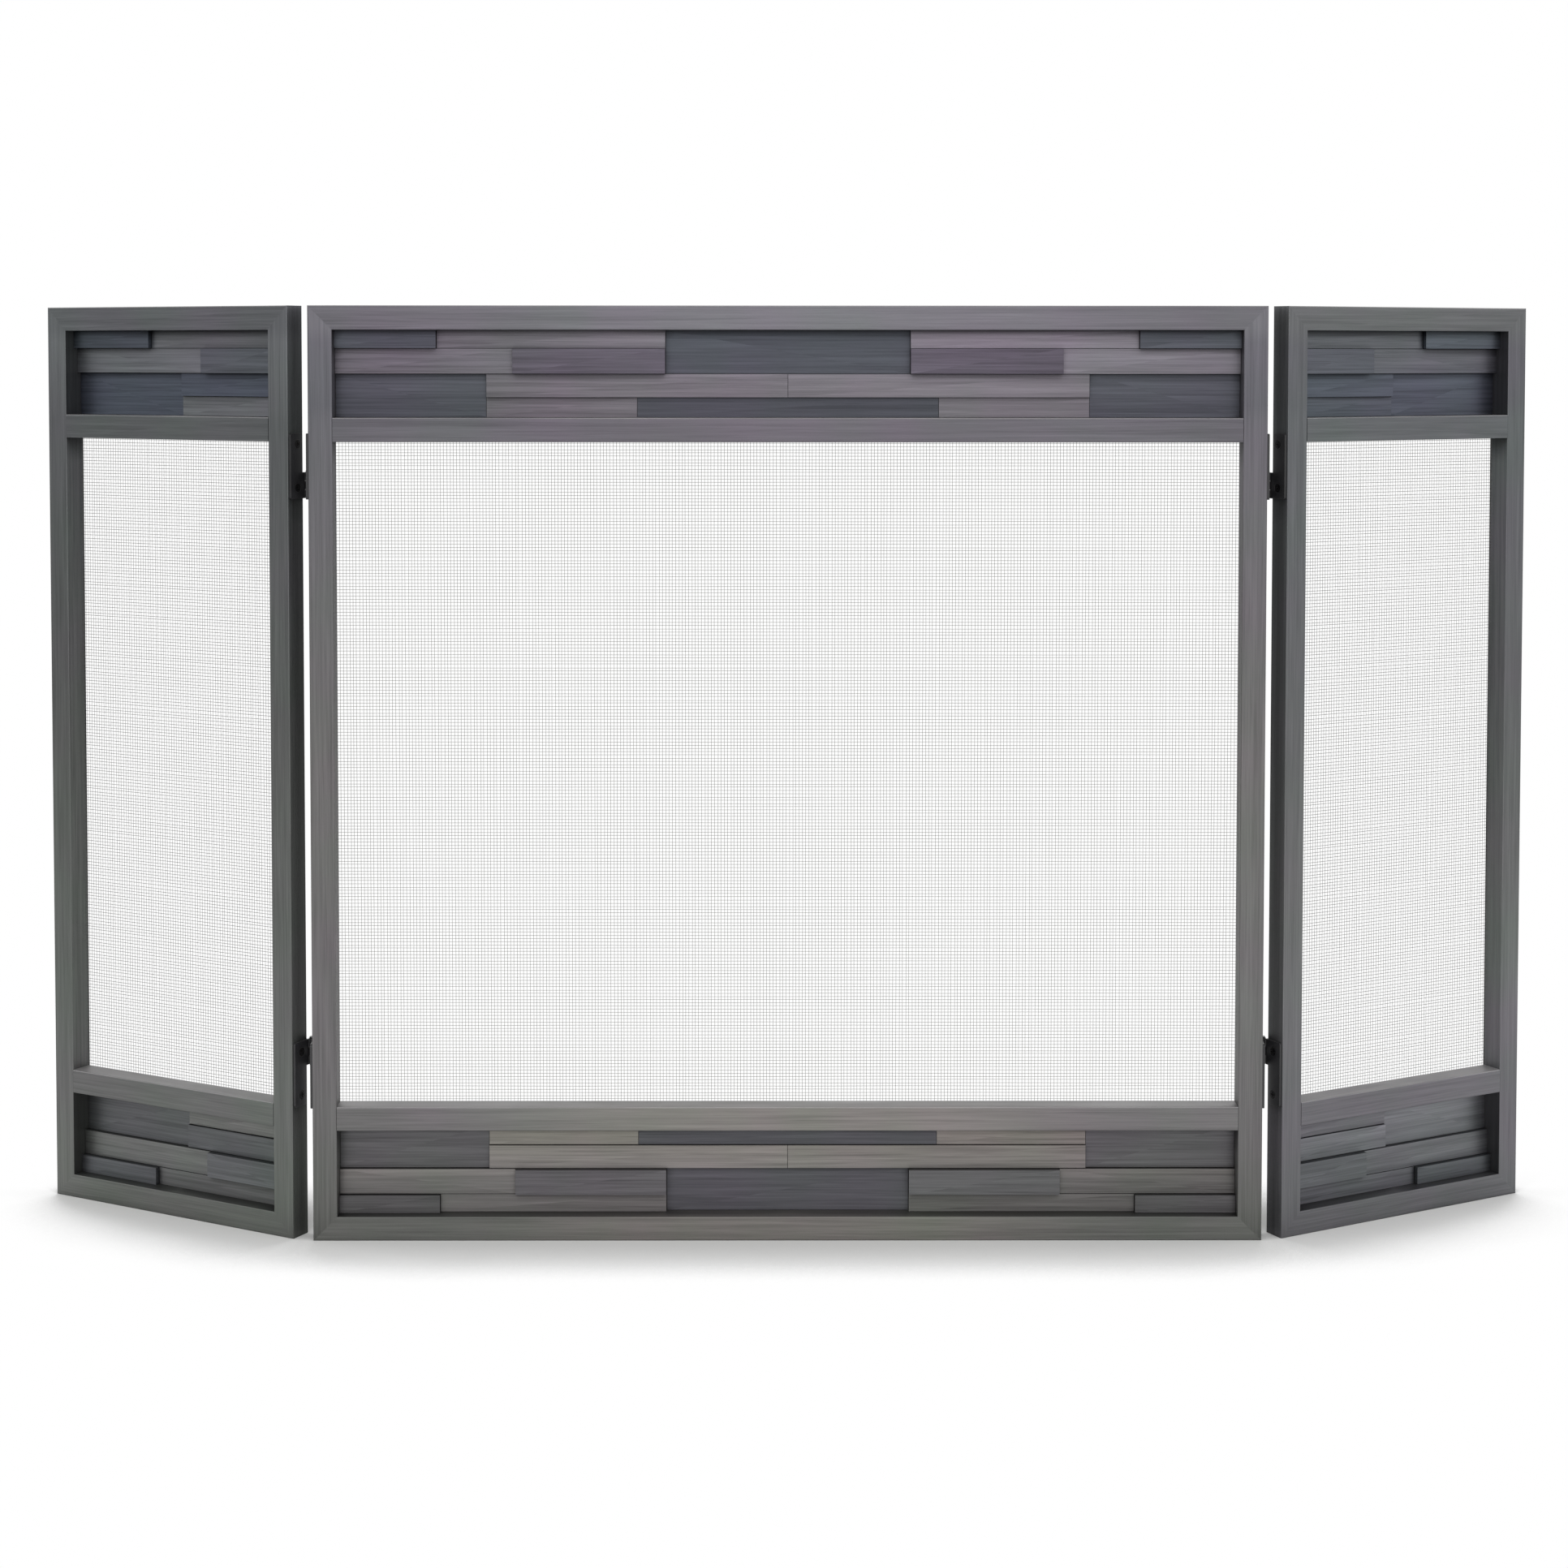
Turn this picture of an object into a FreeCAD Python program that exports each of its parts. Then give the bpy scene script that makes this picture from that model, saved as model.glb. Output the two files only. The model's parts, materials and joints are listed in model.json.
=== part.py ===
"""Three-panel folding fireplace screen.

Millimetres, +Z up, the front faces -Y. The origin is at the middle of the
floor area that the screen takes up with its side panels at rest, which is
half folded back. Each panel is a welded frame of square tube with a relief
plaque at the top and at the bottom and a wire mesh between them.

Each panel has its own frame of reference: X runs from its left edge to its
right edge, Y from its front face to the back, and Z up from the floor.
"""

import FreeCAD, Part
import os
from dataclasses import dataclass

import Sketcher
from FreeCAD import Vector

# Name, value in millimetres or degrees, and what it sets.
SIZES = [
    # The three frames
    ("screen_height", 775.0, "height of all three panels"),
    ("centre_width", 787.0, "width of the centre panel"),
    ("side_width", 260.0, "width of each side panel"),
    ("tube_side", 20.0, "outer side of the square tube"),
    ("tube_wall", 1.2, "wall of the square tube"),
    ("tube_corner_radius", 0.8, "outer corner radius of the square tube"),
    ("plaque_height", 72.0, "height of the openings that hold the plaques"),
    # The fold
    ("fold_angle", 28.5, "how far the side panels are folded back at rest"),
    ("stile_gap", 6.4, "gap between neighbouring stiles with the screen flat"),
    ("pin_setback", 4.0, "from the back of the frames to the hinge axis"),
    # The mesh and the flat strips that hold it
    ("mesh_thickness", 0.6, "thickness of the woven mesh"),
    ("mesh_overlap", 10.0, "how far the mesh laps over the frame all round"),
    ("strip_thickness", 1.5, "thickness of the strips that hold the mesh"),
    ("strip_inset", 1.0, "how far the strips stay back from the opening"),
    # The plaques
    ("plate_thickness", 1.2, "thickness of the backing plates"),
    ("plate_overlap", 8.0, "how far the backing plates lap over the frame"),
    ("plate_corner_radius", 3.0, "corner radius of the backing plates"),
    ("block_joint", 0.4, "gap between neighbouring blocks"),
    ("first_row_height", 15.0, "height of the row beside the outer rail"),
    ("second_row_height", 21.0, "height of the second row"),
    ("third_row_height", 19.5, "height of the third row"),
    ("corner_block_length", 84.0, "length of the raised corner blocks"),
    ("middle_block_length", 202.0, "length of the block in the middle"),
    ("second_row_length", 146.5, "length of the centre's second row end block"),
    ("end_block_length", 124.5, "length of the centre's tall end blocks"),
    ("fourth_row_length", 124.5, "length of the centre's fourth row blocks"),
    ("side_second_row_length", 140.0, "length of a side's second row end block"),
    ("side_end_block_length", 114.5, "length of a side's tall end block"),
    ("corner_recess", 10.0, "from the front of the frame to the corner blocks"),
    ("first_row_recess", 14.0, "the same to the first row"),
    ("raised_recess", 10.5, "the same to the second row's raised blocks"),
    ("second_row_recess", 14.5, "the same to the second row"),
    ("third_row_recess", 16.0, "the same to the third row"),
    ("fourth_row_recess", 18.0, "the same to the fourth row"),
    ("deep_recess", 18.5, "the same to the deepest blocks"),
    # The hinges
    ("leaf_height", 54.0, "height of a hinge leaf"),
    ("leaf_thickness", 2.0, "thickness of a hinge leaf"),
    ("leaf_front_margin", 1.5, "from the front of the frame to the leaf"),
    ("leaf_corner_radius", 2.0, "radius of the leaf's front corners"),
    ("leaf_cut_back", 4.0, "how far the leaf is cut back clear of the knuckles"),
    ("barrel_clearance", 0.4, "from the back of the frame to the barrel"),
    ("knuckle_height", 7.0, "height of one knuckle"),
    ("knuckle_gap", 0.25, "gap between two knuckles"),
    ("pin_radius", 1.9, "radius of the hinge pin"),
    ("pin_clearance", 0.05, "radial clearance of the pin in the knuckles"),
    ("pin_head_radius", 2.9, "radius of the pin's heads"),
    ("pin_head_height", 1.2, "height of the pin's heads"),
    ("upper_hinge_inset", 105.0, "from the top of the screen to the upper leaves"),
    ("lower_hinge_inset", 110.0, "from the floor to the lower leaves"),
    # The screws of the hinges
    ("screw_margin", 9.0, "from the ends of a leaf to its screws"),
    ("screw_length", 10.0, "length of a screw"),
    ("screw_radius", 1.75, "radius of a screw's shank"),
    ("screw_clearance", 0.15, "radial clearance round a screw"),
    ("screw_head_radius", 3.7, "radius of a screw's head"),
    ("screw_seat_radius", 2.6, "radius of the seat under a screw's head"),
    ("screw_head_height", 1.6, "height of a screw's head"),
    ("screw_slot_width", 1.0, "width of the cross slots"),
    ("screw_slot_length", 4.4, "length of the cross slots"),
    ("screw_slot_depth", 1.0, "depth of the cross slots"),
]

# Cuts run this far past the faces that they open.
OVERRUN = "1"

# Places that several pieces share
HALF_GAP = "Sizes.stile_gap / 2"
AXIS_DEPTH = "(Sizes.tube_side + Sizes.pin_setback)"
BARREL_RADIUS = "(Sizes.pin_setback - Sizes.barrel_clearance)"
BORE_RADIUS = "(Sizes.pin_radius + Sizes.pin_clearance)"
KNUCKLE_STEP = "(Sizes.knuckle_height + Sizes.knuckle_gap)"
STACK_HEIGHT = "(3 * Sizes.knuckle_height + 2 * Sizes.knuckle_gap)"
SCREW_DEPTH = "((Sizes.leaf_front_margin + Sizes.tube_side) / 2)"
SCREW_HOLE_RADIUS = "(Sizes.screw_radius + Sizes.screw_clearance)"
PIVOT_X = "(Sizes.centre_width / 2 + Sizes.stile_gap / 2)"
RAIL_STEP = "(Sizes.tube_side + Sizes.plaque_height)"
# The rearmost line of the screen is the rounded outer back corner of a side panel.
CORNER_EASE = "Sizes.tube_corner_radius * (sin(Sizes.fold_angle) + cos(Sizes.fold_angle) - 1)"
SCREEN_DEPTH = (
    f"({AXIS_DEPTH} + ({HALF_GAP} + Sizes.side_width) * sin(Sizes.fold_angle)"
    f" - Sizes.pin_setback * cos(Sizes.fold_angle) - {CORNER_EASE})"
)
FRONT_Y = f"(-{SCREEN_DEPTH} / 2)"
PIVOT_Y = f"({FRONT_Y} + {AXIS_DEPTH})"

document = FreeCAD.newDocument("FireplaceScreen")


def write_sizes():
    """Put every driving size into the sheet, with its name as the alias."""
    sheet = document.addObject("Spreadsheet::Sheet", "Sizes")
    for row, (name, value, meaning) in enumerate(SIZES, start=1):
        sheet.set(f"A{row}", meaning)
        sheet.set(f"B{row}", str(value))
        sheet.setAlias(f"B{row}", name)
    document.recompute()


# ---------------------------------------------------------------- placing

def shift(x="0", y="0", z="0", axis="0; 0; 1", angle="0"):
    """One step of a placement: turn by the angle about the axis, then move."""
    return f"placement(vector({x}; {y}; {z}); rotation(vector({axis}); {angle}))"


def place(piece, *steps):
    """Bind a piece's placement to a chain of steps, the outermost first."""
    piece.setExpression("Placement", " * ".join(steps))


# ---------------------------------------------------------------- sketches

def new_body(label):
    """A body whose label is the name of its sub-part."""
    body = document.addObject("PartDesign::Body", "Body_" + label)
    body.Label = label
    return body


def new_sketch(body, role, offset=None):
    """A sketch on one of the body's own origin planes, moved by the offset."""
    sketch = body.newObject("Sketcher::SketchObject", "Sketch")
    plane = next(item for item in body.Origin.OriginFeatures if item.Role == role)
    sketch.AttachmentSupport = [(plane, "")]
    sketch.MapMode = "FlatFace"
    if offset:
        sketch.setExpression("AttachmentOffset", offset)
    return sketch


def tie_point(sketch, line, point, x, y):
    """Tie one end of a line to the sketch's axes at the distances x and y."""
    for kind, value, axis in (("DistanceX", x, -2), ("DistanceY", y, -1)):
        if value == "0":
            sketch.addConstraint(Sketcher.Constraint("PointOnObject", line, point, axis))
        else:
            index = sketch.addConstraint(Sketcher.Constraint(kind, -1, 1, line, point, 1.0))
            sketch.setExpression(f"Constraints[{index}]", value)


def add_polygon(sketch, corners):
    """A closed outline through corners given as pairs of expressions."""
    first = sketch.GeometryCount
    count = len(corners)
    for index in range(count):
        start = Vector(index, index * index, 0)
        end = Vector((index + 1) % count, ((index + 1) % count) ** 2, 0)
        sketch.addGeometry(Part.LineSegment(start, end))
    for index in range(count):
        following = first + (index + 1) % count
        sketch.addConstraint(Sketcher.Constraint("Coincident", first + index, 2, following, 1))
    for index, (x, y) in enumerate(corners):
        tie_point(sketch, first + index, 1, x, y)


def add_rectangle(sketch, left, right, bottom, top):
    """A closed rectangle between four expressions."""
    add_polygon(sketch, [(left, bottom), (right, bottom), (right, top), (left, top)])


def add_circle(sketch, x, y, radius):
    """A full circle whose centre and radius are expressions."""
    index = sketch.addGeometry(Part.Circle(Vector(1, 1, 0), Vector(0, 0, 1), 1))
    tie_point(sketch, index, 3, x, y)
    size = sketch.addConstraint(Sketcher.Constraint("Radius", index, 1.0))
    sketch.setExpression(f"Constraints[{size}]", radius)


# ---------------------------------------------------------------- features

def add_pad(body, sketch, length):
    """Pad a sketch along its normal."""
    pad = body.newObject("PartDesign::Pad", "Pad")
    pad.Profile = sketch
    pad.setExpression("Length", length)
    document.recompute()


def check_removed(body, before):
    """A cut that missed the solid would leave its volume as it was."""
    if not body.Shape.Volume < before - 1e-3:
        raise RuntimeError(f"a cut in {body.Label} removed nothing")


def add_pocket(body, sketch, depth=None):
    """Cut a sketch against its normal to a depth, or both ways through all."""
    before = body.Shape.Volume
    pocket = body.newObject("PartDesign::Pocket", "Pocket")
    pocket.Profile = sketch
    if depth:
        pocket.setExpression("Length", depth)
    else:
        pocket.Type = "ThroughAll"
        pocket.Midplane = True
    document.recompute()
    check_removed(body, before)


def add_groove(body, sketch, axis):
    """Cut a sketch turned fully about one of its own axes."""
    before = body.Shape.Volume
    groove = body.newObject("PartDesign::Groove", "Groove")
    groove.Profile = sketch
    groove.ReferenceAxis = (sketch, [axis])
    groove.Angle = 360
    document.recompute()
    check_removed(body, before)


def add_revolution(body, sketch, axis):
    """Turn a sketch fully about one of its own axes."""
    revolution = body.newObject("PartDesign::Revolution", "Revolution")
    revolution.Profile = sketch
    revolution.ReferenceAxis = (sketch, [axis])
    revolution.Angle = 360
    document.recompute()


def add_fillet(body, direction, wanted, radius):
    """Round the straight edges along a direction whose middle is wanted."""
    names = []
    for index, edge in enumerate(body.Shape.Edges, start=1):
        along = edge.tangentAt(edge.FirstParameter)
        straight = edge.Curve.TypeId == "Part::GeomLine"
        if straight and abs(along.dot(direction)) > 0.999 and wanted(edge.CenterOfMass):
            names.append(f"Edge{index}")
    solid = body.Tip
    fillet = body.newObject("PartDesign::Fillet", "Fillet")
    fillet.Base = (solid, names)
    fillet.setExpression("Radius", radius)
    document.recompute()


def size_of(name):
    """The present value of a size, for telling edges apart."""
    return document.Sizes.getPropertyByName(name)


# ---------------------------------------------------------------- frames

@dataclass(frozen=True)
class Panel:
    """One panel: its name, width, place, and the edges that carry hinges."""

    name: str
    width: str
    placement: str
    hinged_left: bool
    hinged_right: bool


LEFT_SWING = shift(f"-{PIVOT_X}", PIVOT_Y, angle="-Sizes.fold_angle")
RIGHT_SWING = shift(PIVOT_X, PIVOT_Y, angle="Sizes.fold_angle")

CENTRE = Panel(
    name="centre",
    width="Sizes.centre_width",
    placement=shift("-Sizes.centre_width / 2", FRONT_Y),
    hinged_left=True,
    hinged_right=True,
)
LEFT = Panel(
    name="left",
    width="Sizes.side_width",
    placement=LEFT_SWING + " * " + shift(f"-({HALF_GAP} + Sizes.side_width)", f"-{AXIS_DEPTH}"),
    hinged_left=False,
    hinged_right=True,
)
RIGHT = Panel(
    name="right",
    width="Sizes.side_width",
    placement=RIGHT_SWING + " * " + shift(HALF_GAP, f"-{AXIS_DEPTH}"),
    hinged_left=True,
    hinged_right=False,
)
PANELS = (CENTRE, LEFT, RIGHT)

HINGE_BASES = {
    "upper": "(Sizes.screen_height - Sizes.upper_hinge_inset - Sizes.leaf_height)",
    "lower": "Sizes.lower_hinge_inset",
}
LEAF_SCREW_HEIGHTS = ("Sizes.screw_margin", "(Sizes.leaf_height - Sizes.screw_margin)")


def screw_heights():
    """The height of every hinge screw over the floor."""
    return [f"({base} + {up})" for base in HINGE_BASES.values() for up in LEAF_SCREW_HEIGHTS]


def make_tube(label, length, *steps, mitred=False, holes=()):
    """A square tube along X whose outer side, seen from the panel's middle, is +Z.

    A mitred tube has both ends cut to 45 degrees, with the long side outside.
    The holes are pilot holes through the outer wall, at distances along it.
    """
    body = new_body(label)
    section = new_sketch(body, "YZ_Plane")
    side, wall = "Sizes.tube_side", "Sizes.tube_wall"
    add_rectangle(section, "0", side, "0", side)
    add_rectangle(section, wall, f"{side} - {wall}", wall, f"{side} - {wall}")
    add_pad(body, section, length)

    across = size_of("tube_side")

    def on_corner(middle):
        return all(min(abs(value), abs(value - across)) < 1e-6 for value in (middle.y, middle.z))

    add_fillet(body, Vector(1, 0, 0), on_corner, "Sizes.tube_corner_radius")
    if mitred:
        for base, inward in (("0", side), (length, f"{length} - {side}")):
            corner = new_sketch(body, "XZ_Plane")
            add_polygon(corner, [(base, "0"), (inward, "0"), (base, side)])
            add_pocket(body, corner)
    if holes:
        pilots = new_sketch(body, "XY_Plane", shift(z=side))
        for along in holes:
            add_circle(pilots, along, SCREW_DEPTH, SCREW_HOLE_RADIUS)
        add_pocket(body, pilots, f"{wall} + {OVERRUN}")
    place(body, *steps)


def make_frame(panel):
    """Four mitred tubes round the panel and two plain rails between the stiles."""
    side, height, width = "Sizes.tube_side", "Sizes.screen_height", panel.width
    names = {"left_stile": "left_stile", "right_stile": "right_stile"}
    if panel is LEFT:
        names = {"left_stile": "outer_stile", "right_stile": "inner_stile"}
    if panel is RIGHT:
        names = {"left_stile": "inner_stile", "right_stile": "outer_stile"}

    # The left stile's tube starts at the floor, the right one's at the top.
    make_tube(
        f"{panel.name}_{names['left_stile']}", height,
        panel.placement, shift(side, axis="0; 1; 0", angle="-90"),
        mitred=True, holes=screw_heights() if panel.hinged_left else (),
    )
    make_tube(
        f"{panel.name}_{names['right_stile']}", height,
        panel.placement, shift(f"{width} - {side}", z=height, axis="0; 1; 0", angle="90"),
        mitred=True,
        holes=[f"({height} - {up})" for up in screw_heights()] if panel.hinged_right else (),
    )
    make_tube(
        f"{panel.name}_top_rail", width,
        panel.placement, shift(z=f"{height} - {side}"), mitred=True,
    )
    make_tube(
        f"{panel.name}_bottom_rail", width,
        panel.placement, shift(width, z=side, axis="0; 1; 0", angle="180"), mitred=True,
    )
    for rail, base in (("lower", RAIL_STEP), ("upper", f"{height} - {RAIL_STEP} - {side}")):
        make_tube(
            f"{panel.name}_{rail}_rail", f"{width} - 2 * {side}",
            panel.placement, shift(side, z=base),
        )


# ---------------------------------------------------------------- mesh

def make_box(left, right, front, back, bottom, top):
    """A plain box between six expressions, in a panel's own frame."""
    box = document.addObject("Part::Box", "Box")
    box.setExpression("Length", f"{right} - ({left})")
    box.setExpression("Width", f"{back} - ({front})")
    box.setExpression("Height", f"{top} - ({bottom})")
    place(box, shift(left, front, bottom))
    return box


def make_group(label, pieces, *steps):
    """Separate solids that share one node."""
    group = document.addObject("Part::Compound", "Group_" + label)
    group.Label = label
    group.Links = pieces
    place(group, *steps)


def make_plate(label, panel, left, right, depth, thickness, bottom, top, radius=None):
    """A flat sheet that stands upright at a depth behind the panel's front."""
    body = new_body(label)
    # The sketch looks along -Y, so the pad that grows backwards is reversed.
    outline = new_sketch(body, "XZ_Plane", shift(z=f"-({depth} + {thickness})"))
    add_rectangle(outline, left, right, bottom, top)
    add_pad(body, outline, thickness)
    if radius:
        add_fillet(body, Vector(0, 1, 0), lambda middle: True, radius)
    place(body, panel.placement)


def make_mesh(panel):
    """The mesh lies on the back of the frame, under four welded strips."""
    inside = "(Sizes.tube_side - Sizes.mesh_overlap)"
    left, right = inside, f"({panel.width} - {inside})"
    bottom = f"({RAIL_STEP} + {inside})"
    top = f"(Sizes.screen_height - {RAIL_STEP} - {inside})"
    make_plate(
        f"{panel.name}_mesh", panel, left, right,
        "Sizes.tube_side", "Sizes.mesh_thickness", bottom, top,
    )
    front = "(Sizes.tube_side + Sizes.mesh_thickness)"
    back = f"({front} + Sizes.strip_thickness)"
    wide = "(Sizes.mesh_overlap - Sizes.strip_inset)"
    strips = [
        make_box(left, right, front, back, bottom, f"({bottom} + {wide})"),
        make_box(left, right, front, back, f"({top} - {wide})", top),
        make_box(left, f"({left} + {wide})", front, back, f"({bottom} + {wide})", f"({top} - {wide})"),
        make_box(f"({right} - {wide})", right, front, back, f"({bottom} + {wide})", f"({top} - {wide})"),
    ]
    make_group(f"{panel.name}_mesh_strips", strips, panel.placement)


# ---------------------------------------------------------------- plaques

ROW_EDGES = (
    "0",
    "Sizes.first_row_height",
    "(Sizes.first_row_height + Sizes.second_row_height)",
    "(Sizes.first_row_height + Sizes.second_row_height + Sizes.third_row_height)",
    "Sizes.plaque_height",
)


@dataclass(frozen=True)
class Block:
    """A block of a plaque: where it lies, how deep, and its tone.

    start and end are measured along the opening from the end that the pattern
    starts at, and the rows from the rail at the panel's own edge.
    """

    start: str
    end: str
    first_row: int
    last_row: int
    recess: str
    dark: bool


def centre_blocks():
    """The centre's pattern: one half, its mirror image, and two blocks between."""
    opening = "(Sizes.centre_width - 2 * Sizes.tube_side)"
    half = f"({opening} / 2)"
    middle_start = f"({half} - Sizes.middle_block_length / 2)"
    middle_end = f"({half} + Sizes.middle_block_length / 2)"
    corner, tall = "Sizes.corner_block_length", "Sizes.end_block_length"
    low_start = f"({tall} + Sizes.fourth_row_length)"
    left_half = [
        Block("0", corner, 1, 1, "Sizes.corner_recess", True),
        Block(corner, middle_start, 1, 1, "Sizes.first_row_recess", False),
        Block("0", "Sizes.second_row_length", 2, 2, "Sizes.second_row_recess", False),
        Block("Sizes.second_row_length", middle_start, 2, 2, "Sizes.raised_recess", True),
        Block("0", tall, 3, 4, "Sizes.deep_recess", True),
        Block(tall, half, 3, 3, "Sizes.third_row_recess", False),
        Block(tall, low_start, 4, 4, "Sizes.fourth_row_recess", False),
    ]
    right_half = [
        Block(f"({opening} - {block.end})", f"({opening} - {block.start})",
              block.first_row, block.last_row, block.recess, block.dark)
        for block in left_half
    ]
    middle = [
        Block(middle_start, middle_end, 1, 2, "Sizes.deep_recess", True),
        Block(low_start, f"({opening} - {low_start})", 4, 4, "Sizes.fourth_row_recess", True),
    ]
    return left_half + right_half + middle


def side_blocks():
    """The side panels' pattern, which starts at the outer stile."""
    opening = "(Sizes.side_width - 2 * Sizes.tube_side)"
    corner, second = "Sizes.corner_block_length", "Sizes.side_second_row_length"
    tall = "Sizes.side_end_block_length"
    return [
        Block("0", corner, 1, 1, "Sizes.corner_recess", True),
        Block(corner, opening, 1, 1, "Sizes.first_row_recess", False),
        Block("0", second, 2, 2, "Sizes.second_row_recess", False),
        Block(second, opening, 2, 2, "Sizes.raised_recess", True),
        Block("0", tall, 3, 4, "Sizes.deep_recess", True),
        Block(tall, opening, 3, 3, "Sizes.third_row_recess", True),
        Block(tall, opening, 4, 4, "Sizes.fourth_row_recess", False),
    ]


def make_block(panel, block, at_top):
    """One block, from its own face back to the plate behind the frame."""
    gap = "Sizes.block_joint / 2"
    if panel is RIGHT:
        left = f"({panel.width} - Sizes.tube_side - {block.end})"
        right = f"({panel.width} - Sizes.tube_side - {block.start})"
    else:
        left = f"(Sizes.tube_side + {block.start})"
        right = f"(Sizes.tube_side + {block.end})"
    near, far = ROW_EDGES[block.first_row - 1], ROW_EDGES[block.last_row]
    if at_top:
        bottom = f"(Sizes.screen_height - Sizes.tube_side - {far})"
        top = f"(Sizes.screen_height - Sizes.tube_side - {near})"
    else:
        bottom, top = f"(Sizes.tube_side + {near})", f"(Sizes.tube_side + {far})"
    return make_box(
        f"{left} + {gap}", f"({right} - {gap})", block.recess, "Sizes.tube_side",
        f"{bottom} + {gap}", f"({top} - {gap})",
    )


def make_plaque(panel, name, at_top):
    """A backing plate with a relief of light and dark blocks in front of it."""
    lap = "(Sizes.tube_side - Sizes.plate_overlap)"
    low, high = lap, f"({RAIL_STEP} + Sizes.plate_overlap)"
    if at_top:
        low, high = f"(Sizes.screen_height - {high})", f"(Sizes.screen_height - {lap})"
    make_plate(
        f"{panel.name}_{name}_plate", panel, lap, f"({panel.width} - {lap})",
        "Sizes.tube_side", "Sizes.plate_thickness", low, high, "Sizes.plate_corner_radius",
    )
    pattern = centre_blocks() if panel is CENTRE else side_blocks()
    for tone, dark in (("light", False), ("dark", True)):
        pieces = [make_block(panel, block, at_top) for block in pattern if block.dark == dark]
        make_group(f"{panel.name}_{name}_{tone}_blocks", pieces, panel.placement)


# ---------------------------------------------------------------- hinges

def make_leaf(label, hand, knuckles, stack_base, *steps):
    """A hinge leaf, with the hinge axis as its own Z axis.

    The plate lies on the +X side of the axis for hand 1 and on the -X side
    for hand -1, against the edge of its stile. Beside the knuckles a tab
    reaches back to them. They are counted from the foot of the stack, which
    starts at stack_base.
    """
    near = f"{hand} * ({HALF_GAP} - Sizes.leaf_thickness)"
    far = f"{hand} * {HALF_GAP}"
    front = f"-({AXIS_DEPTH} - Sizes.leaf_front_margin)"
    back = "-(Sizes.pin_setback + Sizes.leaf_cut_back)"

    body = new_body(label)
    plate = new_sketch(body, "XY_Plane")
    add_rectangle(plate, near, far, front, back)
    add_pad(body, plate, "Sizes.leaf_height")
    foremost = -(size_of("tube_side") + size_of("pin_setback") - size_of("leaf_front_margin"))
    add_fillet(
        body, Vector(1, 0, 0), lambda middle: abs(middle.y - foremost) < 1e-6,
        "Sizes.leaf_corner_radius",
    )
    tab = new_sketch(body, "XY_Plane", shift(z=stack_base))
    add_rectangle(tab, near, far, back, "-Sizes.pin_setback")
    add_pad(body, tab, STACK_HEIGHT)
    for index in knuckles:
        level = shift(z=f"{stack_base} + {index} * {KNUCKLE_STEP}")
        root = new_sketch(body, "XY_Plane", level)
        add_rectangle(root, near, far, "-Sizes.pin_setback", "0")
        add_pad(body, root, "Sizes.knuckle_height")
        ring = new_sketch(body, "XY_Plane", level)
        add_circle(ring, "0", "0", BARREL_RADIUS)
        add_pad(body, ring, "Sizes.knuckle_height")
    bore = new_sketch(body, "XY_Plane")
    add_circle(bore, "0", "0", BORE_RADIUS)
    add_pocket(body, bore)
    for up in LEAF_SCREW_HEIGHTS:
        hole = new_sketch(body, "XY_Plane", shift(y=f"{SCREW_DEPTH} - {AXIS_DEPTH}", z=up))
        mouth = f"({near} - {hand} * {OVERRUN})"
        seat = f"({near} + {hand} * Sizes.screw_head_height)"
        end = f"({far} + {hand} * {OVERRUN})"
        add_polygon(hole, [
            (mouth, "0"),
            (mouth, "(Sizes.screw_head_radius + Sizes.screw_clearance)"),
            (near, "(Sizes.screw_head_radius + Sizes.screw_clearance)"),
            (seat, "(Sizes.screw_seat_radius + Sizes.screw_clearance)"),
            (seat, SCREW_HOLE_RADIUS),
            (end, SCREW_HOLE_RADIUS),
            (end, "0"),
        ])
        add_groove(body, hole, "H_Axis")
    place(body, *steps)


def make_pin(label, *steps):
    """A pin with a head at each end, which rests on the knuckles' ends."""
    body = new_body(label)
    profile = new_sketch(body, "XZ_Plane")
    head, shank, rise = "Sizes.pin_head_radius", "Sizes.pin_radius", "Sizes.pin_head_height"
    add_polygon(profile, [
        ("0", f"-{rise}"), (head, f"-{rise}"), (head, "0"), (shank, "0"),
        (shank, STACK_HEIGHT), (head, STACK_HEIGHT),
        (head, f"({STACK_HEIGHT} + {rise})"), ("0", f"({STACK_HEIGHT} + {rise})"),
    ])
    add_revolution(body, profile, "V_Axis")
    place(body, *steps)


def make_hinge(side, level):
    """One hinge: a leaf on the centre's stile, one on the side's, and the pin."""
    base = HINGE_BASES[level]
    # The knuckles are at the end of the leaf nearer the middle of the screen.
    stack_base = "0" if level == "upper" else f"(Sizes.leaf_height - {STACK_HEIGHT})"
    centre_hand = 1 if side is LEFT else -1
    at_axis = shift(f"{-centre_hand} * {PIVOT_X}", PIVOT_Y)
    swing = LEFT_SWING if side is LEFT else RIGHT_SWING
    name = f"{side.name}_{level}_hinge"
    make_leaf(f"{name}_centre_leaf", centre_hand, (0, 2), stack_base, at_axis, shift(z=base))
    make_leaf(f"{name}_side_leaf", -centre_hand, (1,), stack_base, swing, shift(z=base))
    make_pin(f"{name}_pin", at_axis, shift(z=f"{base} + {stack_base}"))


# ---------------------------------------------------------------- screws

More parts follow.
